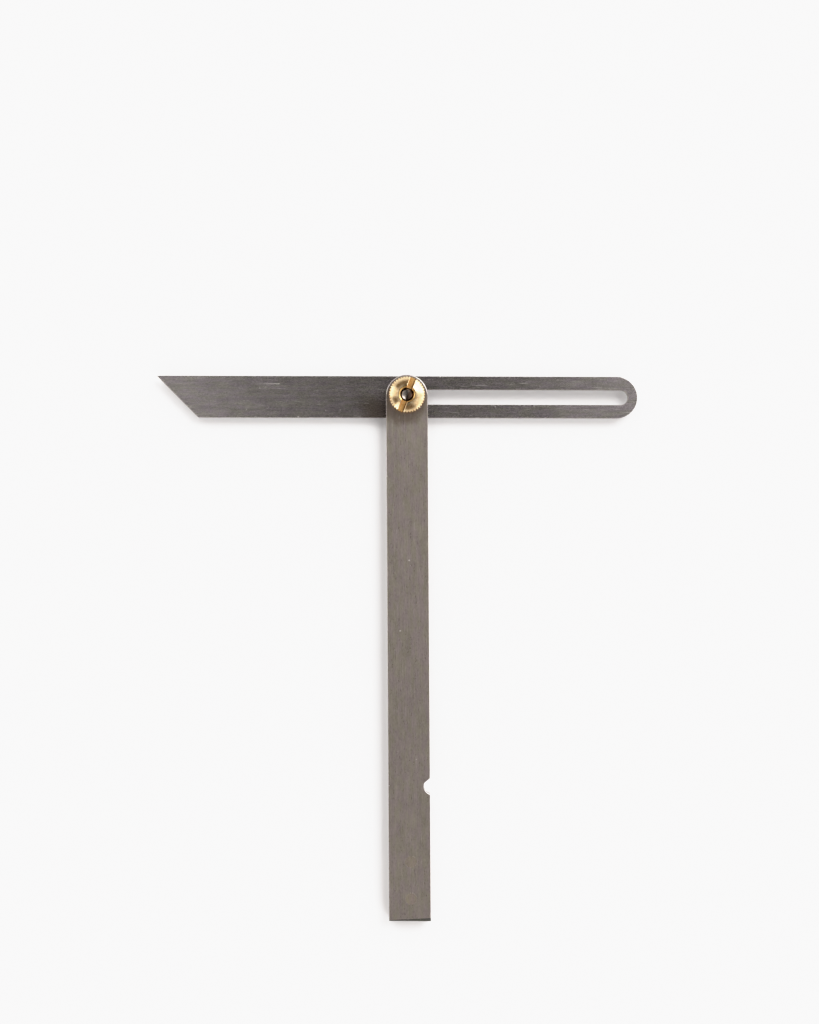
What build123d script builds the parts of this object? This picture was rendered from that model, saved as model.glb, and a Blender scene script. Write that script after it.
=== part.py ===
"""Sliding bevel: a slotted steel blade held in a two-cheek steel stock by a brass lock nut.

Millimetres, +Z up. The tool lies on its back on z = 0. The pivot axis is the Z axis, the
stock runs along -Y, and the blade lies almost square to it along X with its point at -X.
"""

import os
from math import cos, pi, radians, sin, sqrt, tan

from build123d import *

# ---- steel strip shared by the cheeks, the spacer and the blade
strip_width = 18.0
cheek_thickness = 2.0
blade_thickness = 2.0
side_gap = 0.05             # between the blade and each cheek

half = strip_width / 2
cavity = blade_thickness + 2 * side_gap
front_z = cheek_thickness + cavity              # inner face of the front cheek
stock_thickness = front_z + cheek_thickness     # outer face of the front cheek

# ---- stock
stock_reach = 226.5         # pivot axis to the middle of the square end
end_skew_deg = 1.4          # the dressed end is this far out of square
cheek_chamfer = 0.3
end_bevel_narrow = 0.4      # dressed bevel on the front cheek's end, at the -X side
end_bevel_wide = 1.5        # and at the +X side
end_bevel_angle_deg = 17.0  # its fall towards the end

notch_radius = 3.68         # thumb notch in the +X edge: an arc with one straight side
notch_reach = 168.65        # pivot axis to the arc's centre, along the stock
notch_offset = 0.95         # that centre lies this far outside the edge
notch_side_reach = 3.3      # and this far from the straight side, the one nearer the pivot
notch_side_slope_deg = 39.3     # the straight side rises this much towards the edge

rivet_diameter = 5.0
rivet_reaches = (201.0, 216.9)
rivet_side_shift = 0.6      # the rivets sit this far to the +X side of the centre line

# ---- blade
blade_length = 208.4        # point to round end, along the long edge's direction
blade_tail = 100.2          # pivot axis to the round end at rest
blade_rest_turn_deg = -0.4  # how far from square the blade is set at rest, about +Z
blade_side_shift = -0.5     # its centre line lies this far off the axis, against the neck
heel_radius = 1.0           # the blunt corner at the foot of the slanted end
slot_width = 6.5
slot_start = -2.0           # centre of the slot's hidden end
slot_stop = 92.9            # centre of the slot's end near the round end
blade_edge_break = 0.15
tip_clearance = 0.35        # between the folded blade's slanted end and the spacer

slide_travel = blade_tail - half                # brings the round end flush with the stock's
folded_tip = blade_length - half                # pivot axis to the point when folded

# ---- pivot stud
head_diameter, head_height = 9.5, 1.0
head_pocket = 9.7
journal_diameter = 7.0
journal_hole = 7.1
neck_flats = 5.4            # across the two flats that ride in the blade's slot
thread_diameter = 5.0       # M5
thread_pitch = 0.8
front_hole = 5.2
stud_top = 10.0
stud_chamfer = 0.35

# ---- washer
washer_diameter, washer_hole, washer_thickness = 10.0, 5.3, 0.5

# ---- lock nut, heights measured from its seat
nut_diameter = 15.7
nut_height = 6.0
nut_seat_diameter = 10.0
nut_seat_height = 0.6
nut_skirt_chamfer = 0.4
nut_bore = thread_diameter + 0.1
nut_relief_radius = 2.85    # the bore is wider than the thread from here
nut_relief_height = 2.7     # up to the countersink
knurl_teeth = 40
knurl_depth = 0.5
dome_hub_radius = 3.65      # where the countersink meets the dome
dome_rim_radius = 7.3
dome_hub_slope_deg = 12.0   # the dome steepens from this at the hub
dome_rim_slope_deg = 45.0   # to this at the rim
nut_edge_slope_deg = 50.0   # the straight bevel from the rim to the wall
driver_slot_width = 2.4
driver_slot_depth = 2.7
driver_slot_angle_deg = -21.5   # from the Y axis, its +Y end leaning to +X

nut_seat_z = stock_thickness + washer_thickness


def plate(outline, z_low, z_high):
    """The outline, drawn on XY, made solid between two heights."""
    return extrude(Pos(0, 0, z_low) * outline, z_high - z_low)


def bar(radius, z_low, z_high, x=0.0, y=0.0):
    """A round bar standing along Z."""
    return plate(Pos(x, y) * Circle(radius), z_low, z_high)


def polygon(*points):
    return make_face(Polyline(*points, close=True))


def end_y(x):
    """The stock's dressed end, a line slightly out of square."""
    return -stock_reach - x * tan(radians(end_skew_deg))


def notch():
    """The arc's disc, less what lies beyond the straight side."""
    size = 4 * notch_radius
    beyond = Pos(0, notch_side_reach + size / 2) * Rectangle(size, size)
    disc = Circle(notch_radius) - Rot(0, 0, notch_side_slope_deg) * beyond
    return Pos(half + notch_offset, -notch_reach) * disc


def cheek_outline():
    body = polygon((-half, 0), (half, 0), (half, end_y(half)), (-half, end_y(-half)))
    return body + Circle(half) - notch()


def rivet_bars(z_low, z_high):
    return [bar(rivet_diameter / 2, z_low, z_high, rivet_side_shift, -reach)
            for reach in rivet_reaches]


def outer_loop(face):
    return face.outer_wire().edges()


def back_cheek():
    cheek = plate(cheek_outline(), 0, cheek_thickness)
    cheek = chamfer(outer_loop(cheek.faces().sort_by(Axis.Z)[0]), cheek_chamfer)
    cheek -= bar(head_pocket / 2, 0, head_height)
    cheek -= bar(journal_hole / 2, head_height, cheek_thickness)
    for hole in rivet_bars(0, cheek_thickness):
        cheek -= hole
    return cheek


def end_bevel():
    """The wedge dressed off the front cheek's end: one plane, wider towards +X."""
    fall = tan(radians(end_bevel_angle_deg))
    sections = []
    for x, width in ((-half, end_bevel_narrow), (half, end_bevel_wide)):
        start, stop = end_y(x) + width, end_y(x) - 1
        sections.append(make_face(Polyline(
            (x, start, stock_thickness), (x, start, stock_thickness + 1),
            (x, stop, stock_thickness + 1),
            (x, stop, stock_thickness - fall * (start - stop)), close=True)))
    return loft(sections, ruled=True)


def front_cheek():
    cheek = plate(cheek_outline(), front_z, stock_thickness)
    rim = outer_loop(cheek.faces().sort_by(Axis.Z)[-1])
    rim = rim.filter_by(lambda edge: edge.center().Y > -stock_reach + 1)
    cheek = chamfer(rim, cheek_chamfer)
    cheek -= end_bevel()
    cheek -= bar(front_hole / 2, front_z, stock_thickness)
    for hole in rivet_bars(front_z, stock_thickness):
        cheek -= hole
    return cheek


def spacer():
    """Fills the stock's end; its slanted face matches the folded blade's end."""
    near = folded_tip + abs(blade_side_shift) + tip_clearance
    outline = polygon((-half, -near), (half, -near + strip_width),
                      (half, end_y(half)), (-half, end_y(-half)))
    block = plate(outline, cheek_thickness, front_z)
    for hole in rivet_bars(cheek_thickness, front_z):
        block -= hole
    return block


def blade():
    point = blade_tail - blade_length
    centre = blade_tail - half
    strip = polygon((point, half), (point + strip_width, -half), (centre, -half), (centre, half))
    strip += Pos(centre, 0) * Circle(half)
    heel = strip.vertices().sort_by_distance((point + strip_width, -half))[0]
    strip = fillet(heel, heel_radius)
    low = cheek_thickness + side_gap
    solid = plate(strip, low, low + blade_thickness)
    faces = solid.faces().sort_by(Axis.Z)
    solid = chamfer(outer_loop(faces[0]) + outer_loop(faces[-1]), blade_edge_break)
    slot = Pos((slot_start + slot_stop) / 2, 0) * SlotCenterToCenter(slot_stop - slot_start, slot_width)
    solid -= plate(slot, low, low + blade_thickness)
    return Rot(0, 0, blade_rest_turn_deg) * Pos(0, blade_side_shift, 0) * solid


def pivot_stud():
    neck_top = cheek_thickness + side_gap + blade_thickness
    flats = Rot(0, 0, blade_rest_turn_deg) * Rectangle(journal_diameter, neck_flats)
    neck = Circle(journal_diameter / 2) & flats
    stud = bar(head_diameter / 2, 0, head_height)
    stud += bar(journal_diameter / 2, head_height, cheek_thickness)
    stud += plate(neck, cheek_thickness, neck_top)
    shank = bar(thread_diameter / 2, neck_top, stud_top)
    stud += chamfer(shank.edges().sort_by(Axis.Z)[-1], stud_chamfer)
    return stud


def washer():
    ring = Circle(washer_diameter / 2) - Circle(washer_hole / 2)
    return plate(ring, stock_thickness, nut_seat_z)


def knurl_outline():
    points = []
    for i in range(2 * knurl_teeth):
        radius = nut_diameter / 2 - (knurl_depth if i % 2 else 0)
        angle = pi * i / knurl_teeth
        points.append((radius * cos(angle), radius * sin(angle)))
    return polygon(*points)


def lock_nut():
    outer = nut_diameter / 2
    seat = nut_seat_diameter / 2
    hub_slope, rim_slope = radians(dome_hub_slope_deg), radians(dome_rim_slope_deg)
    sweep = (dome_rim_radius - dome_hub_radius) / (sin(rim_slope) - sin(hub_slope))
    axis_z = nut_height - sweep * cos(hub_slope)        # height of the dome arc's centre
    axis_r = dome_hub_radius - sweep * sin(hub_slope)   # and its distance from the axis
    middle = (hub_slope + rim_slope) / 2
    rim_z = axis_z + sweep * cos(rim_slope)
    wall_top = rim_z - (outer - dome_rim_radius) * tan(radians(nut_edge_slope_deg))
    sink_z = nut_height - (dome_hub_radius - nut_relief_radius)
    step_z = nut_relief_height - (nut_relief_radius - nut_bore / 2)

    dome = ThreePointArc((dome_hub_radius, 0, nut_height),
                         (axis_r + sweep * sin(middle), 0, axis_z + sweep * cos(middle)),
                         (dome_rim_radius, 0, rim_z))
    sides = Polyline((dome_rim_radius, 0, rim_z), (outer, 0, wall_top),
                     (outer, 0, nut_seat_height + nut_skirt_chamfer),
                     (outer - nut_skirt_chamfer, 0, nut_seat_height), (seat, 0, nut_seat_height),
                     (seat, 0, 0), (nut_bore / 2, 0, 0), (nut_bore / 2, 0, step_z),
                     (nut_relief_radius, 0, nut_relief_height), (nut_relief_radius, 0, sink_z),
                     (dome_hub_radius, 0, nut_height))
    nut = revolve(make_face([*dome.edges(), *sides.edges()]), Axis.Z)
    nut &= plate(knurl_outline(), 0, nut_height)
    floor = nut_height - driver_slot_depth
    cut = Pos(0, 0, floor + nut_height / 2) * Box(driver_slot_width, 2 * nut_diameter, nut_height)
    nut -= Rot(0, 0, driver_slot_angle_deg) * cut
    return Pos(0, 0, nut_seat_z) * nut


parts = {
    "stock_back_cheek": back_cheek(),
    "stock_front_cheek": front_cheek(),
    "stock_spacer": spacer(),
    "blade": blade(),
    "pivot_stud": pivot_stud(),
    "lock_washer": washer(),
    "lock_nut": lock_nut(),
}
for name, rivet in zip(("spacer_rivet_upper", "spacer_rivet_lower"), rivet_bars(0, stock_thickness)):
    parts[name] = rivet

os.makedirs("parts", exist_ok=True)
for name, solid in parts.items():
    export_step(solid, f"parts/{name}.step")
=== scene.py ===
"""Sliding bevel: slotted steel blade, two-cheek steel stock, brass lock nut.

Metres, in the CAD frame: the tool lies on its back on z = 0, the pivot axis is the Z axis,
the stock runs along -Y and the blade almost square to it, with its point at -X.
"""
from math import acos, asin, cos, degrees, pi, radians, sin, tan

import bmesh
import bpy
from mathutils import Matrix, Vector


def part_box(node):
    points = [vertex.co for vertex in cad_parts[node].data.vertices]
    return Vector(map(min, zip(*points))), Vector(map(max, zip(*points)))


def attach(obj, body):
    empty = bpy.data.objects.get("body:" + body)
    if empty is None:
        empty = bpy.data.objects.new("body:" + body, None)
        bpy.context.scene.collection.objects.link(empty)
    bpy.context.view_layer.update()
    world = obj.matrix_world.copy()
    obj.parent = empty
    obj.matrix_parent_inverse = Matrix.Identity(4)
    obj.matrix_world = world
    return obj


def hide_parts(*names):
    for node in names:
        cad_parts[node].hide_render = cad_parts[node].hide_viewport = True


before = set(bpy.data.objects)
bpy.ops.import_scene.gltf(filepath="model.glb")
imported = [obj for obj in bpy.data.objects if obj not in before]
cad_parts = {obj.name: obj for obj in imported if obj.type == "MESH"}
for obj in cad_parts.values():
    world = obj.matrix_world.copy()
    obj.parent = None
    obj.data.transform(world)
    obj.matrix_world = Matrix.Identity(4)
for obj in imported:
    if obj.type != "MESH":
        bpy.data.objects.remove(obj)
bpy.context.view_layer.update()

MM = 0.001

FRONT_LOW, FRONT_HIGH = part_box("stock_front_cheek")
BACK_LOW, BACK_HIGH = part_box("stock_back_cheek")
SPACER_LOW, SPACER_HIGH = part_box("stock_spacer")
BLADE_LOW, BLADE_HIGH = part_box("blade")
STUD_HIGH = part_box("pivot_stud")[1]
WASHER_LOW, WASHER_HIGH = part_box("lock_washer")
NUT_LOW, NUT_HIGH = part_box("lock_nut")

HALF = FRONT_HIGH.x                      # half the strip's width
END_SKEW = tan(radians(1.4))
STOCK_END = FRONT_LOW.y + HALF * END_SKEW
CHEEK_EDGE = 0.3 * MM
BLADE_EDGE = 0.08 * MM
SLOT_EDGE = 0.12 * MM
FINE_EDGE = 0.05 * MM
RIVET_EDGE = 0.015 * MM

NOTCH_RADIUS = 3.68 * MM
NOTCH_Y = -168.65 * MM
NOTCH_X = HALF + 0.95 * MM
NOTCH_SIDE = 3.3 * MM                   # from the arc's centre to the straight side
NOTCH_SLOPE = 39.3                      # how many degrees that side rises to the edge
NOTCH_EDGE_SHARE = 0.15                 # the notch's edges, compared with CHEEK_EDGE
RIVET_RADIUS = 2.5 * MM
FRONT_BORE = 2.6 * MM
JOURNAL_BORE = 3.55 * MM
HEAD_POCKET = 4.85 * MM
HEAD_HEIGHT = 1.0 * MM
END_BEVEL_NARROW = 0.4 * MM
END_BEVEL_WIDE = 1.5 * MM
END_BEVEL_FALL = tan(radians(17))

BLADE_TURN = radians(-0.4)              # how far from square the blade is set at rest
BLADE_SHIFT = -0.5 * MM                 # its centre line's distance from the pivot axis
BLADE_POINT = -108.2 * MM
BLADE_TAIL = 100.2 * MM
SLOT_RADIUS = 3.25 * MM
SLOT_START = -2.0 * MM
SLOT_STOP = 92.9 * MM
HEEL_RADIUS = 1.0 * MM
SLANT_EDGE_SHARE = 3.5                  # the slanted end's edges, compared with BLADE_EDGE

KNURL_TEETH = 40
RIM_RADIUS = 7.3 * MM                   # where the nut's dome meets its edge bevel
DRIVER_ANGLE = radians(68.5)            # the nut's driver slot, from +X to its line


# ---------------------------------------------------------------- flat pieces
PLATE_CREASE = 35               # edges that turn more than this many degrees are drawn sharp
BORE_STEPS, RIVET_STEPS, ROUND_END_STEPS = 96, 64, 120
NOTCH_STEPS, HEEL_STEPS, SLOT_END_STEPS = 40, 12, 64


def arc(cx, cy, radius, start, stop, steps):
    """Points on an arc, angles in degrees, both ends included."""
    return [(cx + radius * cos(radians(start + (stop - start) * i / steps)),
             cy + radius * sin(radians(start + (stop - start) * i / steps)))
            for i in range(steps + 1)]


def circle(cx, cy, radius, steps):
    """A clockwise loop, so that it bounds a hole."""
    return arc(cx, cy, radius, 360, 0, steps)[:-1]


def inset(points, distance, share=None):
    """The closed loop moved towards its left. share(midpoint) scales each side's distance."""
    if not distance:
        return list(points)
    count = len(points)
    sides = []
    for i, point in enumerate(points):
        one, other = Vector(point), Vector(points[(i + 1) % count])
        along = (other - one).normalized()
        scale = share((one + other) / 2) if share else 1.0
        sides.append((Vector((-along.y, along.x)), distance * scale))
    moved = []
    for i, point in enumerate(points):
        (before, near), (after, far) = sides[i - 1], sides[i]
        turn = before.x * after.y - before.y * after.x
        if abs(turn) < 0.2:
            shift = (before + after).normalized() * (near + far) / 2
        else:
            shift = Vector((near * after.y - far * before.y,
                            far * before.x - near * after.x)) / turn
        moved.append(tuple(Vector(point) + shift))
    return moved


def rounded_edge(low, high, low_radius, high_radius, steps=4):
    """(inset, height) pairs up a wall whose two edges are rounded."""
    rings = []
    for i in range(steps + 1):
        a = pi / 2 * i / steps
        rings.append((low_radius * (1 - sin(a)), low + low_radius * (1 - cos(a))))
    for i in range(steps + 1):
        a = pi / 2 * i / steps
        rings.append((high_radius * (1 - cos(a)), high - high_radius * (1 - sin(a))))
    return rings


def finish_mesh(name, bm, materials):
    bmesh.ops.remove_doubles(bm, verts=bm.verts, dist=1e-7)
    bmesh.ops.recalc_face_normals(bm, faces=bm.faces)
    mesh = bpy.data.meshes.new(name)
    bm.to_mesh(mesh)
    bm.free()
    piece = bpy.data.objects.new(name, mesh)
    bpy.context.scene.collection.objects.link(piece)
    for material in materials:
        mesh.materials.append(material)
    return piece


def sharpen(bm, angle_deg):
    for edge in bm.edges:
        if len(edge.link_faces) == 2:
            edge.smooth = edge.calc_face_angle() < radians(angle_deg)


def map_grain(bm, along):
    """UVs in metres with u along the grain, for the shader's tangent."""
    layer = bm.loops.layers.uv.new("grain")
    for face in bm.faces:
        n = face.normal
        for loop in face.loops:
            p = loop.vert.co
            if abs(n.z) > 0.7:
                u, v = (p.x, p.y) if along == "x" else (p.y, p.x)
            elif along == "x":
                u, v = (p.x, p.z) if abs(n.y) > abs(n.x) else (p.y, p.z)
            else:
                u, v = (p.y, p.z) if abs(n.x) > abs(n.y) else (p.x, p.z)
            loop[layer].uv = (u, v)


def plate(name, loops, materials, along, cut=None):
    """A plate whose caps are filled between the loops. Each loop is (points, rings, share)."""
    bm = bmesh.new()
    low_edges, high_edges = [], []
    for points, rings, *share in loops:
        rows = []
        for distance, z in rings:
            rows.append([bm.verts.new((x, y, z)) for x, y in inset(points, distance, *share)])
        count = len(points)
        for row, (lower, upper) in enumerate(zip(rows, rows[1:])):
            slanted = rings[row][0] != rings[row + 1][0]
            for i in range(count):
                k = (i + 1) % count
                face = bm.faces.new((lower[i], lower[k], upper[k], upper[i]))
                face.material_index = 1 if slanted else 0
                face.smooth = True
        low_edges += [bm.edges.get((rows[0][i], rows[0][(i + 1) % count])) for i in range(count)]
        high_edges += [bm.edges.get((rows[-1][i], rows[-1][(i + 1) % count]))
                       for i in range(count)]
    for edges in (low_edges, high_edges):
        made = bmesh.ops.triangle_fill(bm, edges=edges, use_beauty=True)
        for item in made["geom"]:
            if isinstance(item, bmesh.types.BMFace):
                item.material_index = 0
                item.smooth = False
    if cut:
        bmesh.ops.bisect_plane(bm, geom=bm.verts[:] + bm.edges[:] + bm.faces[:],
                               plane_co=cut[0], plane_no=cut[1], clear_outer=True)
        open_edges = [e for e in bm.edges if e.is_boundary]
        for face in bmesh.ops.contextual_create(bm, geom=open_edges)["faces"]:
            face.material_index = 2
    bmesh.ops.recalc_face_normals(bm, faces=bm.faces)
    sharpen(bm, PLATE_CREASE)
    for edge in low_edges + high_edges:
        if edge.is_valid:
            edge.smooth = False
    map_grain(bm, along)
    return finish_mesh(name, bm, materials)


# ---------------------------------------------------------------- turned pieces
LATHE_COLUMNS = 192
ON_AXIS = 1e-7                  # a ring with a smaller radius is one vertex
LATHE_CREASE = 32               # edges that turn more than this many degrees are drawn sharp


def lathe(name, profile, material, shape=None, closed=False):
    """Rings of vertices around Z. shape(radius, z, angle) may change a point's radius."""
    bm = bmesh.new()
    rows = []
    for radius, z in profile:
        if radius < ON_AXIS:
            rows.append([bm.verts.new((0, 0, z))] * LATHE_COLUMNS)
            continue
        row = []
        for i in range(LATHE_COLUMNS):
            a = 2 * pi * i / LATHE_COLUMNS
            r = shape(radius, z, a) if shape else radius
            row.append(bm.verts.new((r * cos(a), r * sin(a), z)))
        rows.append(row)
    pairs = list(zip(rows, rows[1:]))
    if closed:
        pairs.append((rows[-1], rows[0]))
    for one, other in pairs:
        for i in range(LATHE_COLUMNS):
            k = (i + 1) % LATHE_COLUMNS
            corners = []
            for vert in (one[i], one[k], other[k], other[i]):
                if vert not in corners:
                    corners.append(vert)
            if len(corners) < 3:
                continue
            bm.faces.new(corners).smooth = True
    bmesh.ops.recalc_face_normals(bm, faces=bm.faces)
    sharpen(bm, LATHE_CREASE)
    return finish_mesh(name, bm, [material])


# ---------------------------------------------------------------- materials
def add_node(tree, kind, inputs=None, **settings):
    """A node whose inputs are given as values, or as the sockets that they are linked to."""
    made = tree.nodes.new("ShaderNode" + kind)
    for key, value in settings.items():
        setattr(made, key, value)
    for key, value in (inputs or {}).items():
        if isinstance(value, bpy.types.NodeSocket):
            tree.links.new(value, made.inputs[key])
        else:
            made.inputs[key].default_value = value
    return made


class Nodes:
    """A material, with short calls to add its nodes."""

    def __init__(self, name, **constants):
        self.material = bpy.data.materials.new(name)
        self.material.use_nodes = True
        self.tree = self.material.node_tree
        self.tree.nodes.clear()
        self.shader = self.add("BsdfPrincipled", constants)
        output = self.add("OutputMaterial", {"Surface": self.shader.outputs["BSDF"]})
        output.is_active_output = True
        self.place = self.add("TexCoord").outputs["Object"]

    def add(self, kind, inputs=None, **settings):
        return add_node(self.tree, kind, inputs, **settings)

    def set(self, **links):
        for key, value in links.items():
            self.tree.links.new(value, self.shader.inputs[key.replace("_", " ")])

    def math(self, operation, a, b=0.0):
        return self.add("Math", {0: a, 1: b}, operation=operation).outputs[0]

    def noise(self, size_mm, detail=2.0, rough=0.5, shift=0.0, turn=0.0):
        """Noise whose features have this size along x, y and z."""
        scale = [1 / (s * MM) for s in size_mm]
        vector = self.place
        if turn:
            vector = self.add("VectorRotate", {"Vector": vector, "Angle": radians(turn)},
                              rotation_type="Z_AXIS").outputs["Vector"]
        mapping = self.add("Mapping", {"Vector": vector, "Scale": scale,
                                       "Location": (shift, shift * 1.7, shift * 0.6)})
        made = self.add("TexNoise", {"Vector": mapping.outputs["Vector"], "Scale": 1.0,
                                     "Detail": detail, "Roughness": rough})
        return made.outputs["Fac"]

    def steps(self, value, low, high, to_low=0.0, to_high=1.0):
        """A smooth step from to_low to to_high."""
        made = self.add("MapRange", {"Value": value, "From Min": low, "From Max": high,
                                     "To Min": to_low, "To Max": to_high},
                        interpolation_type="SMOOTHSTEP")
        return made.outputs["Result"]

    def level(self, value, low, high, to_low, to_high):
        made = self.add("MapRange", {"Value": value, "From Min": low, "From Max": high,
                                     "To Min": to_low, "To Max": to_high})
        return made.outputs["Result"]

    def mix(self, factor, one, other, blend="MIX"):
        made = self.add("Mix", {0: factor}, data_type="RGBA", blend_type=blend)
        for index, value in ((6, one), (7, other)):
            if isinstance(value, bpy.types.NodeSocket):
                self.tree.links.new(value, made.inputs[index])
            else:
                made.inputs[index].default_value = (*value, 1)
        return made.outputs[2]

    def bump(self, height, distance, normal_in=None):
        inputs = {"Height": height, "Distance": distance, "Strength": 1.0}
        if normal_in:
            inputs["Normal"] = normal_in
        return self.add("Bump", inputs).outputs["Normal"]

    def specks(self, cell_mm, radius, share, shift):
        """1 on small round spots, one in each chosen cell."""
        scale = 1 / (cell_mm * MM)
        mapping = self.add("Mapping", {"Vector": self.place, "Location": (shift, shift, 0),
                                       "Scale": (scale, scale, scale)})
        cells = self.add("TexVoronoi", {"Vector": mapping.outputs["Vector"], "Scale": 1.0,
                                        "Randomness": 1.0})
        near = self.steps(cells.outputs["Distance"], radius, radius * 0.4)
        chosen = self.add("SeparateColor", {"Color": cells.outputs["Color"]}).outputs[0]
        return self.math("MULTIPLY", near, self.math("LESS_THAN", chosen, share))


STEEL_GRAZING = (0.45, 0.43, 0.42, 1)     # satin steel stays grey when seen along its face


def brushed_steel(name, base, along, roughness, shift=0.0, contrast=1.0, painted_shadow=None, scar=None,
                  metallic=0.92):
    """Satin steel brushed along one axis, streaked and mottled, with scratches and specks.

    painted_shadow is (dark radius, unshaded radius, centre) of a painted brownish shadow, such as
    the nut's on the stock and the stock's on the blade. scar is (start, end, y) of one long bright
    scratch along x.
    """
    n = Nodes(name, Metallic=metallic, Anisotropic=0.85)
    n.shader.inputs["Anisotropic Rotation"].default_value = 0.25
    n.shader.inputs["Specular Tint"].default_value = STEEL_GRAZING

    def stretched(across, length):
        return (length, across, across) if along == "x" else (across, length, across)

    def centred(value, reach):
        return n.level(value, 0.25, 0.75, -reach * contrast, reach * contrast)

    fine = n.noise(stretched(0.20, 7.0), 2, 0.6, shift)
    streak = n.noise(stretched(0.55, 16.0), 2, 0.55, shift + 3)
    broad = n.noise(stretched(2.6, 45.0), 2, 0.5, shift + 5)
    grain = n.noise(stretched(0.40, 1.1), 2, 0.6, shift + 9)
    stain_and_shade = n.noise(stretched(2.4, 7.0), 3, 0.6, shift + 13)
    cloud = n.noise(stretched(5.0, 9.0), 3, 0.55, shift + 17)

    cool = tuple(c * k for c, k in zip(base, (1.015, 0.975, 1.035)))
    warm = tuple(c * k for c, k in zip(base, (0.985, 1.0, 0.925)))
    tint = n.mix(n.steps(stain_and_shade, 0.36, 0.64), cool, warm)
    shade = n.math("ADD", 1.0, centred(fine, 0.15))
    for value, reach in ((streak, 0.09), (broad, 0.05), (grain, 0.17), (cloud, 0.07)):
        shade = n.math("ADD", shade, centred(value, reach))
    grey = n.add("CombineColor", {"Red": shade, "Green": shade, "Blue": shade}).outputs[0]
    colour = n.mix(1.0, tint, grey, "MULTIPLY")
    # painted shadow: a brownish shade mixed in around the centre, full within the dark radius and
    # gone by the unshaded radius
    if painted_shadow:
        dark, unshaded, centre = painted_shadow
        away = n.add("VectorMath", {0: n.place, 1: centre}, operation="DISTANCE").outputs["Value"]
        edge = n.math("ADD", away, n.level(cloud, 0.3, 0.7, -1.5 * MM, 1.5 * MM))
        colour = n.mix(n.steps(edge, unshaded, dark, 0.0, 0.75), colour, (0.205, 0.155, 0.120))

    scratch = n.steps(n.noise(stretched(0.16, 9.0), 1, 0.4, shift + 21, 4), 0.735, 0.77)
    cross = n.steps(n.noise(stretched(0.16, 5.0), 1, 0.4, shift + 27, -24), 0.76, 0.80)
    marks = n.math("MAXIMUM", scratch, n.math("MULTIPLY", cross, 0.8))
    specks = n.math("MAXIMUM", n.specks(6.1, 0.060, 0.45, shift),
                    n.specks(2.9, 0.085, 0.13, shift + 2))
    light = n.math("MAXIMUM", n.math("MULTIPLY", marks, 0.45 * contrast),
                   n.math("MULTIPLY", specks, 0.95))
    if scar:
        start, end, y = scar
        parts = n.add("SeparateXYZ", {0: n.place}).outputs
        beside = n.math("ABSOLUTE", n.math("SUBTRACT", parts["Y"], y))
        line = n.steps(beside, 0.22 * MM, 0.05 * MM)
        reach = n.math("MULTIPLY", n.steps(parts["X"], start, end, 0.25, 1.0),
                       n.math("MULTIPLY", n.math("GREATER_THAN", parts["X"], start),
                              n.math("LESS_THAN", parts["X"], end)))
        light = n.math("MAXIMUM", light, n.math("MULTIPLY", line, reach))
    colour = n.mix(light, colour, (0.95, 0.92, 0.88))

    rough = n.math("ADD", n.level(fine, 0.2, 0.8, roughness - 0.05, roughness + 0.05),
                   n.level(grain, 0.2, 0.8, -0.03, 0.03))
    rough = n.math("ADD", rough, n.math("MULTIPLY", light, 0.40))
    height = n.math("ADD", fine, n.math("MULTIPLY", streak, 0.9))
    height = n.math("SUBTRACT", height, n.math("MULTIPLY", marks, 0.8))
    bumped = n.bump(height, 4e-6)
    tangent = n.add("Tangent", direction_type="UV_MAP", uv_map="grain").outputs[0]
    n.set(Base_Color=colour, Roughness=rough, Normal=bumped, Tangent=tangent)
    return n.material


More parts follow.
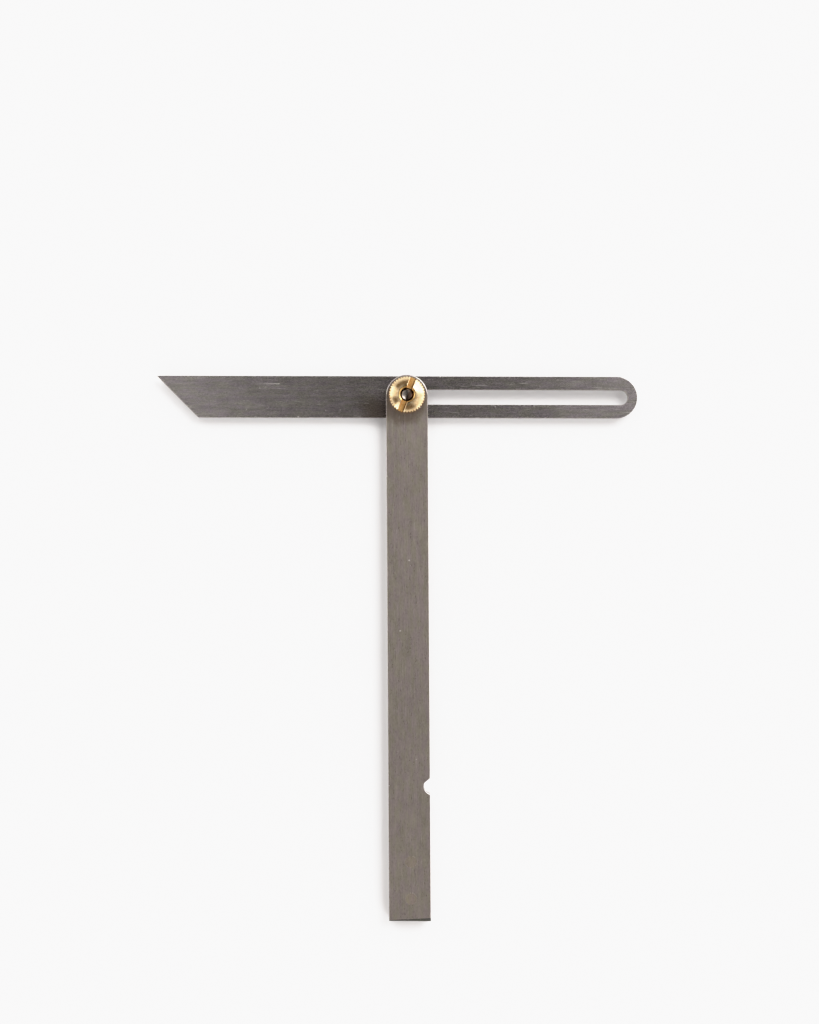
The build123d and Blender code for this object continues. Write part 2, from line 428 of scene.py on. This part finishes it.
def turned_metal(name, base, deep, roughness, ring_mm, anisotropic=0.5, spot=0.3, dents=0.0,
                 stain_and_shade=None, knurl_shade=None):
    """Bright turned metal with fine rings around Z, uneven tarnish and a few small dents.

    stain_and_shade is a painted shade colour for the half towards azimuth -25 degrees. knurl_shade
    is the colour of painted shade between the nut's teeth, at the rim.
    """
    n = Nodes(name, Metallic=1.0, Anisotropic=anisotropic)
    n.shader.inputs["Anisotropic Rotation"].default_value = 0.25
    rings = n.add("TexWave", {"Vector": n.place, "Scale": pi / (10 * ring_mm * MM),
                              "Distortion": 0.6, "Detail": 2.0, "Detail Scale": 40.0},
                  wave_type="RINGS", rings_direction="Z").outputs["Fac"]
    cloud = n.noise((1.3, 1.3, 1.3), 4, 0.65, 4)
    grit = n.noise((0.16, 0.16, 0.16), 3, 0.6, 8)
    tarnish = n.math("MULTIPLY", n.steps(cloud, 0.40, 0.66), spot)
    colour = n.mix(tarnish, base, deep)
    colour = n.mix(n.level(rings, 0, 1, 0.0, 0.12), colour, deep)
    colour = n.mix(n.level(grit, 0.35, 0.75, 0.0, 0.5 * spot), colour, deep)
    # painted shade: the half towards azimuth -25 degrees darkened to this colour, standing in for
    # the shadow and dark reflection on the stud's end
    if stain_and_shade:
        towards = n.add("VectorMath", {0: n.place, 1: (cos(radians(-25)), sin(radians(-25)), 0)},
                        operation="DOT_PRODUCT").outputs["Value"]
        reach = n.math("ADD", towards, n.level(cloud, 0.3, 0.7, -0.5 * MM, 0.5 * MM))
        colour = n.mix(n.steps(reach, -0.2 * MM, 0.5 * MM, 0.0, 0.9), colour, stain_and_shade)
    # painted shade: the valleys between the knurl's teeth darkened, near the rim
    if knurl_shade:
        parts = n.add("SeparateXYZ", {0: n.place}).outputs
        turns = n.math("MULTIPLY", n.math("ARCTAN2", parts["Y"], parts["X"]), float(KNURL_TEETH))
        flat = n.add("VectorMath", {0: n.place, 1: (1, 1, 0)}, operation="MULTIPLY").outputs[0]
        away = n.add("VectorMath", {0: flat}, operation="LENGTH").outputs["Value"]
        painted_shade = n.math("MULTIPLY", n.steps(n.math("COSINE", turns), -0.05, -0.85),
                      n.steps(away, RIM_RADIUS - 0.20 * MM, RIM_RADIUS + 0.05 * MM))
        colour = n.mix(painted_shade, colour, knurl_shade)
    rough = n.math("ADD", n.level(cloud, 0.3, 0.7, roughness - 0.03, roughness + 0.05),
                   n.level(grit, 0.3, 0.7, -0.03, 0.03))
    bumped = n.bump(n.math("ADD", rings, n.math("MULTIPLY", grit, 0.8)), 2.5e-6)
    if dents:
        bumped = n.bump(n.noise((0.7, 0.7, 0.7), 2, 0.5, 12), dents, bumped)
    tangent = n.add("Tangent", direction_type="RADIAL", axis="Z").outputs[0]
    n.set(Base_Color=colour, Roughness=rough, Normal=bumped, Tangent=tangent)
    return n.material


def milled_metal(name, base, deep, painted_shade, roughness):
    """Duller metal left by a cutter, with soft cross marks and painted shade along the slot's +X
    corner.
    """
    n = Nodes(name, Metallic=0.8)
    lines = n.noise((0.10, 1.6, 0.6), 3, 0.6, 2, 20)
    cloud = n.noise((0.9, 0.9, 0.9), 4, 0.6, 6)
    colour = n.mix(n.steps(cloud, 0.35, 0.7), base, deep)
    # painted shade: darker along the slot's +X corner, where that wall's shadow falls
    across = n.add("VectorMath", {0: n.place, 1: (sin(DRIVER_ANGLE), -cos(DRIVER_ANGLE), 0)},
                   operation="DOT_PRODUCT").outputs["Value"]
    reach = n.math("ADD", across, n.level(cloud, 0.3, 0.7, -0.15 * MM, 0.15 * MM))
    colour = n.mix(n.steps(reach, 0.45 * MM, 1.05 * MM, 0.0, 0.9), colour, painted_shade)
    rough = n.level(cloud, 0.25, 0.75, roughness - 0.06, roughness + 0.10)
    n.set(Base_Color=colour, Roughness=rough, Normal=n.bump(n.math("ADD", lines, cloud), 6e-6))
    return n.material


STOCK_BASE = (0.393, 0.342, 0.306)
BLADE_BASE = (0.420, 0.385, 0.377)
EDGE_BASE = (0.640, 0.600, 0.570)
BRASS = (0.940, 0.750, 0.470)
BRASS_DEEP = (0.680, 0.410, 0.180)

# the tuple paints a brownish shadow of the nut on the stock, below and left of the nut
stock_face = brushed_steel("stock steel", STOCK_BASE, "y", 0.31, 0, 0.75,
                           (8.5 * MM, 13.0 * MM, (-2.0 * MM, -2.0 * MM, FRONT_HIGH.z)))
stock_edge = brushed_steel("stock steel edge", EDGE_BASE, "y", 0.24, 2, 0.6)
# the dressed end's bevel: a dark colour that paints the bevel in shade
stock_dressed_shade = brushed_steel("stock steel dressed end in painted shade", (0.115, 0.115, 0.105), "x", 0.50, 6)
# the notch's walls: paler, less metallic steel as filed, and partly painted light that makes them
# look lit
notch_filed_painted_light = brushed_steel("stock steel filed notch painted light", (0.80, 0.78, 0.76), "y", 0.45, 8, 0.4,
                            metallic=0.35)
# the first tuple paints a brownish shadow of the stock on the blade, left of it; the second is a
# long bright scratch
blade_face = brushed_steel("blade steel", BLADE_BASE, "x", 0.26, 11, 1.5,
                           (2.0 * MM, 12.0 * MM, (-12.5 * MM, -7.0 * MM, BLADE_HIGH.z)),
                           (-65.5 * MM, -55.0 * MM, 5.5 * MM))
blade_edge = brushed_steel("blade steel edge", EDGE_BASE, "x", 0.24, 15, 0.6)
rivet_face = brushed_steel("rivet steel", (0.406, 0.345, 0.289), "y", 0.33, 31, 0.75)
# the last colour is painted shade on the half of the stud's end towards azimuth -25 degrees
stud_face = turned_metal("stud steel", (0.52, 0.47, 0.44), (0.20, 0.14, 0.11), 0.20, 0.13, 0.6,
                         0.6, 6e-6, (0.125, 0.070, 0.045))
washer_face = turned_metal("washer steel", (0.55, 0.54, 0.52), (0.42, 0.40, 0.38), 0.32, 0.12)
# the last colour is painted shade between the knurl's teeth
nut_face = turned_metal("nut brass", BRASS, BRASS_DEEP, 0.15, 0.09, 0.55, 0.62, 14e-6, None,
                        (0.16, 0.09, 0.04))
nut_sink = turned_metal("nut brass countersink", (0.88, 0.58, 0.24), (0.66, 0.36, 0.10), 0.20, 0.12)
# the dark third colour is painted shade along the slot's +X corner
nut_milled = milled_metal("nut brass milled", (0.90, 0.54, 0.20), (0.66, 0.33, 0.09),
                          (0.14, 0.06, 0.02), 0.36)
# a nearly black colour that paints the bore below the driver slot in shade
nut_bore_shade = turned_metal("nut brass bore painted shade", (0.055, 0.040, 0.028), (0.030, 0.022, 0.016),
                          0.45, 0.20)


# ---------------------------------------------------------------- stock
def end_y(x):
    return STOCK_END - x * END_SKEW


def stock_outline():
    """Counter-clockwise from the end's left corner: right edge, notch, round end, left edge."""
    foot = 270 - degrees(asin((NOTCH_X - HALF) / NOTCH_RADIUS))
    # the straight side leaves the arc here, and runs to where it meets the stock's edge
    leave = 90 + NOTCH_SLOPE + degrees(acos(NOTCH_SIDE / NOTCH_RADIUS))
    slope = radians(NOTCH_SLOPE)
    side_y = NOTCH_Y + (NOTCH_SIDE - (NOTCH_X - HALF) * sin(slope)) / cos(slope)
    points = [(-HALF, end_y(-HALF)), (0, end_y(0)), (HALF, end_y(HALF))]
    points += arc(NOTCH_X, NOTCH_Y, NOTCH_RADIUS, foot, leave, NOTCH_STEPS)
    points += [(HALF, side_y)]
    points += arc(0, 0, HALF, 0, 180, ROUND_END_STEPS)
    return points


def cheek_edge_share(middle):
    """The round end's edge is broken more than the straight sides, and the notch's least."""
    if (middle - Vector((NOTCH_X, NOTCH_Y))).length < NOTCH_RADIUS + FINE_EDGE:
        return NOTCH_EDGE_SHARE
    return 0.4 + 0.9 * max(0.0, min(1.0, middle.y / (0.22 * HALF)))


def file_notch(cheek, slot):
    """The notch's walls take a paler, less metallic steel: partly as filed steel, partly painted
    light that makes them look lit white.
    """
    for face in cheek.data.polygons:
        away = (face.center.xy - Vector((NOTCH_X, NOTCH_Y))).length
        if abs(face.normal.z) < 0.3 and away < NOTCH_RADIUS + FINE_EDGE:
            face.material_index = slot


def rivet_holes(low, high):
    holes = []
    for node in ("spacer_rivet_upper", "spacer_rivet_lower"):
        a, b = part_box(node)
        rings = rounded_edge(low, high, RIVET_EDGE, RIVET_EDGE, 2)
        holes.append((circle((a.x + b.x) / 2, (a.y + b.y) / 2, RIVET_RADIUS, RIVET_STEPS), rings))
    return holes


def build_stock():
    low, high = FRONT_LOW.z, FRONT_HIGH.z
    outer = (stock_outline(), rounded_edge(low, high, FINE_EDGE, CHEEK_EDGE), cheek_edge_share)
    bore = (circle(0, 0, FRONT_BORE, BORE_STEPS), rounded_edge(low, high, FINE_EDGE, 2 * FINE_EDGE))
    left = Vector((-HALF, end_y(-HALF) + END_BEVEL_NARROW, high))
    right = Vector((HALF, end_y(HALF) + END_BEVEL_WIDE, high))
    across, down = right - left, Vector((0, -1, -END_BEVEL_FALL))
    facing = across.cross(down)
    facing = facing if facing.z > 0 else -facing
    # material 2, on the end's bevel left by the cut, is the dark painted shade
    front = plate("front_cheek", [outer, bore, *rivet_holes(low, high)],
                  [stock_face, stock_edge, stock_dressed_shade, notch_filed_painted_light], "y", cut=(left, facing))
    file_notch(front, 3)
    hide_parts("stock_front_cheek")

    low, high = BACK_LOW.z, BACK_HIGH.z
    outer = (stock_outline(), rounded_edge(low, high, CHEEK_EDGE, FINE_EDGE))
    step = HEAD_POCKET - JOURNAL_BORE
    bore = (circle(0, 0, JOURNAL_BORE, BORE_STEPS), [
        (step + FINE_EDGE, low), (step, low + FINE_EDGE), (step, low + HEAD_HEIGHT),
        (FINE_EDGE, low + HEAD_HEIGHT), (0, low + HEAD_HEIGHT + FINE_EDGE),
        (0, high - FINE_EDGE), (FINE_EDGE, high)])
    back = plate("back_cheek", [outer, bore, *rivet_holes(low, high)],
                 [stock_face, stock_edge, notch_filed_painted_light], "y")
    file_notch(back, 2)
    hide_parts("stock_back_cheek")

    low, high = SPACER_LOW.z, SPACER_HIGH.z
    top = SPACER_HIGH.y
    outline = [(-HALF, end_y(-HALF)), (HALF, end_y(HALF)), (HALF, top), (-HALF, top - 2 * HALF)]
    outer = (outline, rounded_edge(low, high, FINE_EDGE, FINE_EDGE, 2))
    spacer = plate("end_spacer", [outer, *rivet_holes(low, high)], [stock_face, stock_edge], "y")
    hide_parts("stock_spacer")

    made = [front, back, spacer]
    for node in ("spacer_rivet_upper", "spacer_rivet_lower"):
        a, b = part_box(node)
        centre = ((a.x + b.x) / 2, (a.y + b.y) / 2)
        loop = circle(*centre, RIVET_RADIUS, RIVET_STEPS)[::-1]
        rings = rounded_edge(a.z, b.z, RIVET_EDGE, RIVET_EDGE, 2)
        rivet = plate("flush_" + node, [(loop, rings)], [rivet_face, stock_edge], "y")
        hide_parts(node)
        made.append(rivet)
    for piece in made:
        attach(piece, "stock")


# ---------------------------------------------------------------- blade
def turned(points):
    """The blade's points, from its own straight frame to its place at rest."""
    c, k = cos(BLADE_TURN), sin(BLADE_TURN)
    return [(x * c - y * k, x * k + y * c) for x, y in points]


def build_blade():
    low, high = BLADE_LOW.z, BLADE_HIGH.z
    top, bottom = BLADE_SHIFT + HALF, BLADE_SHIFT - HALF
    foot = BLADE_POINT + 2 * HALF
    tangent = HEEL_RADIUS * tan(radians(22.5))      # from the heel's sharp corner to its arc
    outline = [(BLADE_POINT, top)]
    outline += arc(foot + tangent, bottom + HEEL_RADIUS, HEEL_RADIUS, 225, 270, HEEL_STEPS)
    outline += arc(BLADE_TAIL - HALF, BLADE_SHIFT, HALF, -90, 90, ROUND_END_STEPS)

    def share(middle):
        """The slanted end's edges are broken more than the rest."""
        slanted = middle.x < foot and bottom + HEEL_RADIUS < middle.y < top - HEEL_RADIUS
        return SLANT_EDGE_SHARE if slanted else 1.0

    outer = (turned(outline), rounded_edge(low, high, BLADE_EDGE, BLADE_EDGE), share)
    slot = arc(SLOT_STOP, BLADE_SHIFT, SLOT_RADIUS, 90, -90, SLOT_END_STEPS)
    slot += arc(SLOT_START, BLADE_SHIFT, SLOT_RADIUS, 270, 90, SLOT_END_STEPS)
    inner = (turned(slot), rounded_edge(low, high, SLOT_EDGE, SLOT_EDGE))
    blade = plate("slotted_blade", [outer, inner], [blade_face, blade_edge], "x")
    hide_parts("blade")
    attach(blade, "blade")


# ---------------------------------------------------------------- stud and washer
THREAD_PITCH = 0.8 * MM
THREAD_DEPTH = 0.45 * MM
THREAD_START = 0.3 * MM         # the thread begins this far above the neck
THREAD_FLANKS = 0.82            # share of the pitch that the groove takes
JOURNAL_RADIUS = 3.5 * MM
NECK_HALF = 2.7 * MM
SHANK_RADIUS = 2.5 * MM
STUD_CHAMFER = 0.35 * MM
STUD_DISH = 0.32 * MM           # how far the stud's free end is dished


def build_stud():
    neck_low, neck_high = BACK_HIGH.z, BLADE_HIGH.z
    thread_low, thread_high = neck_high + THREAD_START, STUD_HIGH.z - STUD_CHAMFER
    head = STUD_HIGH.x

    def shape(radius, z, angle):
        if neck_low < z < neck_high + 1e-6 and radius > SHANK_RADIUS + 1e-5:
            return min(radius, NECK_HALF / max(abs(sin(angle - BLADE_TURN)), 1e-3))
        if thread_low <= z <= thread_high and abs(radius - SHANK_RADIUS) < 1e-6:
            turn = (z / THREAD_PITCH - angle / (2 * pi)) % 1
            groove = 1 - min(1, abs(2 * turn - 1) / THREAD_FLANKS)
            fade = min(1, (z - thread_low) / THREAD_PITCH)
            return radius - THREAD_DEPTH * groove * fade
        return radius

    profile = [(0, 0), (head * 0.3, 0), (head * 0.6, 0), (head - FINE_EDGE, 0), (head, FINE_EDGE),
               (head, HEAD_HEIGHT - FINE_EDGE), (head - FINE_EDGE, HEAD_HEIGHT),
               (JOURNAL_RADIUS, HEAD_HEIGHT), (JOURNAL_RADIUS, neck_low - FINE_EDGE),
               (JOURNAL_RADIUS - FINE_EDGE, neck_low), (JOURNAL_RADIUS, neck_low + 1e-5),
               (JOURNAL_RADIUS, neck_high - FINE_EDGE), (JOURNAL_RADIUS - FINE_EDGE, neck_high),
               (SHANK_RADIUS, neck_high)]
    steps = int((thread_high - neck_high) / (THREAD_PITCH / 10))
    profile += [(SHANK_RADIUS, neck_high + (thread_high - neck_high) * i / steps)
                for i in range(1, steps + 1)]
    end = SHANK_RADIUS - STUD_CHAMFER
    profile += [(end + 0.02 * MM, STUD_HIGH.z - 0.04 * MM), (end - 0.05 * MM, STUD_HIGH.z)]
    profile += [(end * t, STUD_HIGH.z - STUD_DISH * (1 - t * t))
                for t in (0.94, 0.85, 0.7, 0.55, 0.4, 0.2, 0)]
    stud = lathe("clamp_stud", profile, stud_face, shape=shape)
    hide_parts("pivot_stud")
    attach(stud, "pivot")


WASHER_BORE = 2.65 * MM
WASHER_LIFT = 0.01 * MM         # keeps its underside off the cheek's face as it turns


def build_washer():
    outer, inner = WASHER_HIGH.x, WASHER_BORE
    low, high, e = WASHER_LOW.z + WASHER_LIFT, WASHER_HIGH.z, FINE_EDGE
    profile = [(inner, low + e), (inner, high - e), (inner + e, high), (outer - e, high),
               (outer, high - e), (outer, low + e), (outer - e, low), (inner + e, low)]
    washer = lathe("nut_washer", profile, washer_face, closed=True)
    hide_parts("lock_washer")
    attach(washer, "washer")


# ---------------------------------------------------------------- lock nut
NUT_SEAT = 5.0 * MM
NUT_SEAT_HEIGHT = 0.6 * MM
NUT_SKIRT = 0.4 * MM
NUT_BORE = 2.55 * MM
NUT_RELIEF_RADIUS = 2.85 * MM
NUT_RELIEF_HEIGHT = 2.7 * MM
KNURL_DEPTH = 0.5 * MM
HUB_RADIUS = 3.65 * MM
HUB_SLOPE = radians(12)
RIM_SLOPE = radians(45)
EDGE_SLOPE = radians(50)
DRIVER_HALF = 1.2 * MM
DRIVER_DEPTH = 2.7 * MM
DRIVER_ROUND = 0.24 * MM

FLOOR_STEPS = 44                # columns across the driver slot's floor
SHOULDER_STEPS = 4              # over each of its rounded shoulders
LAND_STEPS = 520                # and from one end of the slot round to the other
SINK_STEPS, DOME_STEPS = 13, 24
NUT_CREASE = 38                 # edges that turn more than this many degrees are drawn sharp


def nut_profile(radius, height):
    """(radius, height) around the nut's section, from the bore's foot up, out and back."""
    sweep = (RIM_RADIUS - HUB_RADIUS) / (sin(RIM_SLOPE) - sin(HUB_SLOPE))
    axis_r = HUB_RADIUS - sweep * sin(HUB_SLOPE)
    axis_z = height - sweep * cos(HUB_SLOPE)
    rim_z = axis_z + sweep * cos(RIM_SLOPE)
    wall_top = rim_z - (radius - RIM_RADIUS) * tan(EDGE_SLOPE)
    sink_z = height - (HUB_RADIUS - NUT_RELIEF_RADIUS)
    floor = height - DRIVER_DEPTH
    step_z = NUT_RELIEF_HEIGHT - (NUT_RELIEF_RADIUS - NUT_BORE)
    bore = [(NUT_BORE + 0.25 * MM, 0), (NUT_BORE, 0.25 * MM), (NUT_BORE, 1.4 * MM),
            (NUT_BORE, step_z), (NUT_RELIEF_RADIUS, NUT_RELIEF_HEIGHT), (NUT_RELIEF_RADIUS, floor),
            (NUT_RELIEF_RADIUS, (floor + sink_z) / 2), (NUT_RELIEF_RADIUS, sink_z - 0.05 * MM)]
    sink = []                               # a bell mouth: steep at the relief, flat at the hub
    for i in range(SINK_STEPS):
        a = pi / 2 * i / SINK_STEPS
        sink.append((HUB_RADIUS - (HUB_RADIUS - NUT_RELIEF_RADIUS) * cos(a),
                     sink_z + (height - sink_z) * sin(a) * 0.985))
    dome = []
    for i in range(DOME_STEPS + 1):
        a = HUB_SLOPE + (RIM_SLOPE - HUB_SLOPE) * i / DOME_STEPS
        dome.append((axis_r + sweep * sin(a), axis_z + sweep * cos(a)))
    rim = [(RIM_RADIUS + (radius - RIM_RADIUS) * t, rim_z + (wall_top - rim_z) * t ** 1.25)
           for t in (0.25, 0.5, 0.75)]
    low = NUT_SEAT_HEIGHT + NUT_SKIRT
    wall = [(radius, wall_top), (radius, floor), (radius, floor - 0.5 * MM),
            (radius, (floor + low) / 2), (radius, low)]
    foot = [(radius - NUT_SKIRT, NUT_SEAT_HEIGHT), (NUT_SEAT + 0.1 * MM, NUT_SEAT_HEIGHT),
            (NUT_SEAT, NUT_SEAT_HEIGHT - 0.05 * MM), (NUT_SEAT, FINE_EDGE),
            (NUT_SEAT - FINE_EDGE, 0)]
    return bore, sink, dome, rim, wall, foot


def nut_columns():
    """How far the columns stand from the driver slot's middle line.

    First those across its floor, then (distance, drop) for those over a rounded shoulder.
    """
    inside = [-DRIVER_HALF + 2 * DRIVER_HALF * i / FLOOR_STEPS for i in range(FLOOR_STEPS + 1)]
    shoulder = []
    for i in range(SHOULDER_STEPS + 1):
        a = pi / 2 * i / SHOULDER_STEPS
        shoulder.append((DRIVER_HALF + DRIVER_ROUND * (1 - cos(a)), DRIVER_ROUND * (1 - sin(a))))
    return inside, shoulder


def build_nut():
    radius = NUT_HIGH.x
    height = NUT_HIGH.z - NUT_LOW.z
    floor = height - DRIVER_DEPTH
    zones = nut_profile(radius, height)
    profile, zone_of = [], []
    for index, zone in enumerate(zones):
        profile += zone
        zone_of += [index] * len(zone)
    inside, shoulder = nut_columns()

    def columns(r):
        """(angle, drop, cut) for every column of a ring with this radius."""
        made = []
        for side in (0, 1):
            base = DRIVER_ANGLE + pi * side
            for across, drop in reversed(shoulder):
                made.append((base - asin(across / r), drop, False))
            for across in inside:
                made.append((base + asin(across / r), 0, True))
            for across, drop in shoulder:
                made.append((base + asin(across / r), drop, False))
            start = base + asin(shoulder[-1][0] / r)
            stop = base + pi - asin(shoulder[-1][0] / r)
            for i in range(1, LAND_STEPS):
                made.append((start + (stop - start) * i / LAND_STEPS, 0, False))
        return made

    bm = bmesh.new()
    rows, cuts = [], None
    for (r, z), zone in zip(profile, zone_of):
        row = []
        layout = columns(r)
        cuts = [cut for angle, drop, cut in layout]
        for angle, drop, cut in layout:
            tooth = abs((angle * KNURL_TEETH / (2 * pi)) % 1 - 0.5) * 2
            crest = radius - KNURL_DEPTH * (1 - sin(pi / 2 * tooth) ** 0.8)
            reach = min(r, crest) if r > RIM_RADIUS - KNURL_DEPTH else r
            if z > floor:
                level = floor if cut else max(floor, z - drop)
            else:
                level = z
            row.append(bm.verts.new((reach * cos(angle), reach * sin(angle), NUT_LOW.z + level)))
        rows.append(row)
    count = len(rows[0])
    for index in range(len(rows)):
        lower, upper = rows[index], rows[(index + 1) % len(rows)]
        zone = zone_of[index]
        z_here = max(profile[index][1], profile[(index + 1) % len(rows)][1])
        for i in range(count):
            k = (i + 1) % count
            face = bm.faces.new((lower[i], lower[k], upper[k], upper[i]))
            face.smooth = True
            milled = z_here > floor + 1e-7 and (cuts[i] or cuts[k])
            # the bore's faces below the slot's floor take the nearly black painted shade
            inside_bore = index < len(zones[0]) and z_here < floor + 0.8 * MM
            face.material_index = 3 if inside_bore else 2 if milled else 1 if zone < 2 else 0
    bmesh.ops.remove_doubles(bm, verts=bm.verts, dist=2e-7)
    bmesh.ops.recalc_face_normals(bm, faces=bm.faces)
    sharpen(bm, NUT_CREASE)
    nut = finish_mesh("knurled_nut", bm, [nut_face, nut_sink, nut_milled, nut_bore_shade])
    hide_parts("lock_nut")
    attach(nut, "nut")


build_stock()
build_blade()
build_stud()
build_washer()
build_nut()


# ---------------------------------------------------------------- floor, light and camera
FLOOR_HALF = 4.0
FLOOR_Z = -0.02 * MM
FLOOR_COLOUR = (0.62, 0.615, 0.615, 1)
FLOOR_GLOW = (1.0, 0.97, 1.0, 1)
FLOOR_GLOW_STRENGTH = 0.11

# name, energy, angular size, angle from overhead, azimuth it comes from, seen in the metal
SUNS = (("key", 3.3, 40, 52, 48, False), ("sheen", 0.6, 24, 41, 45, True),
        ("front board", 2.8, 40, 65, -58, False), ("side board", 2.3, 40, 58, 118, False))

# the studio that the metal shows, in world brightness
CEILING_LEFT = (-0.035, -0.19, 0.54)    # direction's x where it starts, where it is full, how bright
CEILING_RIGHT = (0.10, 0.15, 0.40)
WALL_BASE = 0.15
# azimuth, half its width, softness of its ends, how bright
WALLS = ((40, 27, 8, 2.0), (163, 19, 8, 1.12), (235, 17, 7, 1.5), (344, 30, 12, 0.95))
HORIZON_BAND = (0.55, 0.80, 0.75)       # 1 - |z| where it starts, where it is full, how bright
WALLS_START, WALLS_FULL = 0.10, 0.30    # 1 - |z| where the ceiling gives way to the walls
WARMTH = 0.04

CAMERA_LENS = 48.39             # with a sensor 36 wide
CAMERA_PLACE = (-9.43 * MM, -55.81 * MM, 600 * MM)
CAMERA_TILT = (0.532, -0.987, -0.346)   # degrees from straight down

# linear brightness in and out, along the tone curve's soft shoulder
TONE_SHOULDER = ((0.80, 0.80), (0.90, 0.858), (1.02, 0.904), (1.18, 0.934))
TONE_END = (1.45, 0.944)
TONE_BRIGHTEST = 1.5


def build_floor():
    bm = bmesh.new()
    for x, y in ((-1, -1), (1, -1), (1, 1), (-1, 1)):
        bm.verts.new((x * FLOOR_HALF, y * FLOOR_HALF, FLOOR_Z))
    bm.faces.new(bm.verts)
    n = Nodes("floor", Roughness=0.9)
    n.shader.inputs["Specular IOR Level"].default_value = 0.0
    n.shader.inputs["Base Color"].default_value = FLOOR_COLOUR
    n.shader.inputs["Emission Color"].default_value = FLOOR_GLOW
    n.shader.inputs["Emission Strength"].default_value = FLOOR_GLOW_STRENGTH
    floor = finish_mesh("floor", bm, [n.material])


def build_lamps():
    """A soft key from the upper right and two boards for the floor, and the metal's sheen."""
    for name, energy, size, from_top, azimuth, seen in SUNS:
        sun = bpy.data.lights.new(name, "SUN")
        sun.energy = energy
        sun.angle = radians(size)
        lamp = bpy.data.objects.new(name, sun)
        lamp.rotation_euler = (radians(from_top), 0, radians(azimuth + 90))
        lamp.visible_glossy = seen
        lamp.visible_diffuse = not seen
        bpy.context.scene.collection.objects.link(lamp)


def build_studio():
    """What the metal shows: a ceiling in two parts, and walls around the horizon."""
    world = bpy.data.worlds.new("studio")
    bpy.context.scene.world = world
    world.use_nodes = True
    tree = world.node_tree
    tree.nodes.clear()

    def add(kind, inputs=None, **settings):
        return add_node(tree, kind, inputs, **settings)

    def math(operation, a, b=0.0):
        return add("Math", {0: a, 1: b}, operation=operation).outputs[0]

    def step(value, low, high, to_high):
        return add("MapRange", {"Value": value, "From Min": low, "From Max": high, "To Min": 0.0,
                                "To Max": to_high}, interpolation_type="SMOOTHSTEP").outputs[0]

    looking = add("TexCoord").outputs["Generated"]
    parts = add("SeparateXYZ", {0: looking})
    level = add("CombineXYZ", {0: parts.outputs["X"], 1: parts.outputs["Y"]})
    heading = add("VectorMath", {0: level.outputs[0]}, operation="NORMALIZE").outputs[0]
    low = math("SUBTRACT", 1.0, math("ABSOLUTE", parts.outputs["Z"]))

    def wall(azimuth, half_width, soft, strength):
        """A brighter stretch of the horizon, its angles in degrees."""
        a = radians(azimuth)
        facing = add("VectorMath", {0: heading, 1: (cos(a), sin(a), 0)}, operation="DOT_PRODUCT")
        return step(facing.outputs["Value"], cos(radians(half_width + soft)),
                    cos(radians(half_width - soft)), strength)

    overhead = math("ADD", step(parts.outputs["X"], *CEILING_LEFT),
                    step(parts.outputs["X"], *CEILING_RIGHT))
    around = math("ADD", WALL_BASE, step(low, *HORIZON_BAND))
    for setting in WALLS:
        around = math("ADD", around, wall(*setting))
    share = step(low, WALLS_START, WALLS_FULL, 1.0)
    total = math("ADD", math("MULTIPLY", around, share),
                 math("MULTIPLY", overhead, math("SUBTRACT", 1.0, share)))
    warmth = math("MULTIPLY", share, WARMTH)
    colour = add("CombineColor", {"Red": math("ADD", total, warmth), "Green": total,
                                  "Blue": math("SUBTRACT", total, warmth)})
    shader = add("Background", {"Color": colour.outputs[0], "Strength": 1.0})
    add("OutputWorld", {"Surface": shader.outputs[0]})


def build_camera():
    camera = bpy.data.cameras.new("camera")
    camera.lens = CAMERA_LENS
    camera.sensor_width = 36
    camera.clip_start = 0.01
    camera.clip_end = 20
    eye = bpy.data.objects.new("camera", camera)
    eye.location = CAMERA_PLACE
    eye.rotation_euler = [radians(angle) for angle in CAMERA_TILT]
    bpy.context.scene.collection.objects.link(eye)
    bpy.context.scene.camera = eye


def set_tone():
    """Plain colours, with a soft shoulder that holds whites just under full white."""
    view = bpy.context.scene.view_settings
    view.view_transform = "Standard"
    view.use_curve_mapping = True
    mapping = view.curve_mapping
    mapping.clip_max_x = TONE_BRIGHTEST
    curve = mapping.curves[3]               # the curve that all three channels share
    curve.points[1].location = TONE_END
    for place in TONE_SHOULDER:
        curve.points.new(*place)
    for point in curve.points:
        point.handle_type = "VECTOR"
    mapping.update()


build_floor()
build_lamps()
build_studio()
build_camera()
set_tone()
